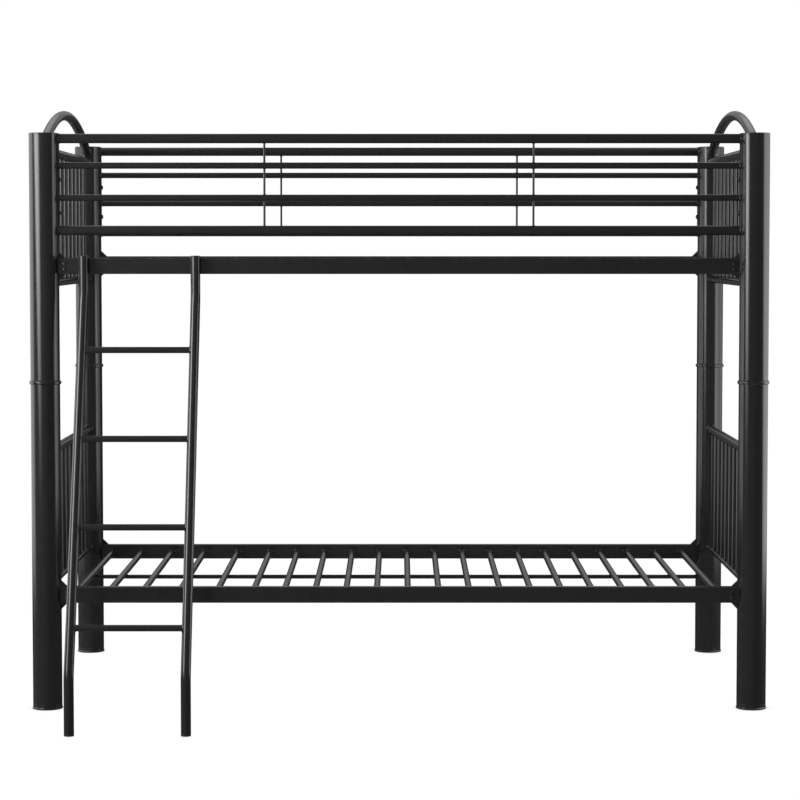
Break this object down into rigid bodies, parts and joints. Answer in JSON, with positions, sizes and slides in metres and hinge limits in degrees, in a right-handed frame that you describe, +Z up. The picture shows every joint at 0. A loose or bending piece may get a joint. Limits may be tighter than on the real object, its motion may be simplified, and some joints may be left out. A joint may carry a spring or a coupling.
{
  "type": "bunk bed with ladder",
  "caption": "Black tubular metal bunk bed: two slatted beds stacked on round posts, arched spindle end panels, guard rails around the upper bed and a hook-on bent ladder.",
  "frame": {"origin": "on the floor, at the middle of the footprint with the ladder included", "axes": "+X along the bed, from the ladder end to the other end; +Y from the ladder side to the far side; +Z up"},
  "size_m": [2.0174, 1.4851, 1.6558],
  "materials": {
    "black_powder_coat": "satin black powder coat on steel tube",
    "black_plastic": "moulded black plastic, fine grain",
    "black_bolt": "black coated steel dome-head bolt"
  },
  "bodies": {
    "lower_bunk": {"foot_caps": "black_plastic", "lower_centre_bar": "black_powder_coat", "lower_left_bottom_rail": "black_powder_coat", "lower_left_spindles": "black_powder_coat", "lower_left_top_rail": "black_powder_coat", "lower_post_back_left": "black_powder_coat", "lower_post_back_right": "black_powder_coat", "lower_post_front_left": "black_powder_coat", "lower_post_front_right": "black_powder_coat", "lower_rail_bolts": "black_bolt", "lower_rail_brackets": "black_powder_coat", "lower_right_bottom_rail": "black_powder_coat", "lower_right_spindles": "black_powder_coat", "lower_right_top_rail": "black_powder_coat", "lower_side_rail_back": "black_powder_coat", "lower_side_rail_front": "black_powder_coat", "lower_slats": "black_powder_coat", "post_couplers": "black_powder_coat"},
    "upper_bunk": {"back_guard_bottom_rail": "black_powder_coat", "back_guard_end_straps": "black_powder_coat", "back_guard_mid_rails": "black_powder_coat", "back_guard_top_rail": "black_powder_coat", "back_guard_uprights": "black_powder_coat", "front_guard_bottom_rail": "black_powder_coat", "front_guard_end_straps": "black_powder_coat", "front_guard_mid_rails": "black_powder_coat", "front_guard_top_rail": "black_powder_coat", "front_guard_uprights": "black_powder_coat", "guard_bolts": "black_bolt", "post_top_caps": "black_plastic", "upper_centre_bar": "black_powder_coat", "upper_left_arch": "black_powder_coat", "upper_left_bottom_rail": "black_powder_coat", "upper_left_spindles": "black_powder_coat", "upper_left_top_rail": "black_powder_coat", "upper_post_back_left": "black_powder_coat", "upper_post_back_right": "black_powder_coat", "upper_post_front_left": "black_powder_coat", "upper_post_front_right": "black_powder_coat", "upper_rail_bolts": "black_bolt", "upper_rail_brackets": "black_powder_coat", "upper_right_arch": "black_powder_coat", "upper_right_bottom_rail": "black_powder_coat", "upper_right_spindles": "black_powder_coat", "upper_right_top_rail": "black_powder_coat", "upper_side_rail_back": "black_powder_coat", "upper_side_rail_front": "black_powder_coat", "upper_slats": "black_powder_coat"},
    "ladder": {"ladder_feet": "black_plastic", "ladder_hooks": "black_powder_coat", "ladder_rail_left": "black_powder_coat", "ladder_rail_right": "black_powder_coat", "ladder_rung_1": "black_powder_coat", "ladder_rung_2": "black_powder_coat", "ladder_rung_3": "black_powder_coat", "ladder_rung_4": "black_powder_coat", "ladder_top_caps": "black_plastic"}
  },
  "joints": [
    {"name": "upper_bunk_lift", "type": "slide", "parent": "lower_bunk", "child": "upper_bunk", "axis": [0, 0, 1], "range_m": [0, 0.13]},
    {"name": "ladder_lift", "type": "slide", "parent": "upper_bunk", "child": "ladder", "axis": [0, 0, 1], "range_m": [0, 0.05]}
  ]
}
